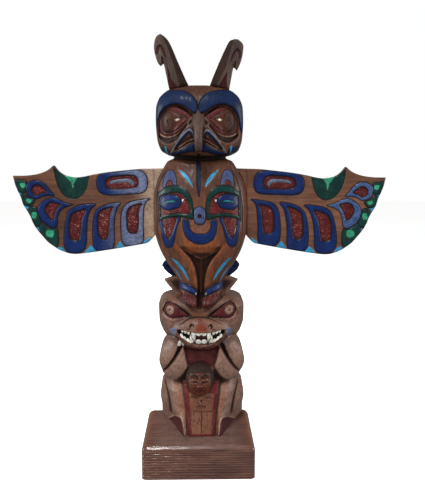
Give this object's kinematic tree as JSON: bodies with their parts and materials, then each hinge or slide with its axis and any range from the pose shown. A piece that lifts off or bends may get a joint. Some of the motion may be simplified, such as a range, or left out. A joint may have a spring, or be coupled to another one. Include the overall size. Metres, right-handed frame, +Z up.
{
  "type": "totem pole",
  "caption": "Carved and painted wooden model totem pole with a horned thunderbird, spread wings and a bear, on a block.",
  "frame": {"origin": "centre of the whole part's box in X and Y, at the block's underside", "axes": "+Z up, the figures face -Y, wings along X; left and right are as seen from the front, so left is -X"},
  "size_m": [0.369, 0.099, 0.4193],
  "materials": {
    "base_wood": "brushed brown stain, satin, with raised grain lines",
    "carved_wood": "brown stained carving with blue, dark red, green, light blue and white paint, satin varnish",
    "wing_wood": "brown stained board with blue, dark red and green feather shapes, satin varnish",
    "horn_wood": "dark brown stain with dark red grooves, satin varnish"
  },
  "bodies": {
    "root": {"base_block": "base_wood", "pole": "carved_wood", "wing_left": "wing_wood", "wing_right": "wing_wood", "horn_left": "horn_wood", "horn_right": "horn_wood"}
  },
  "joints": []
}
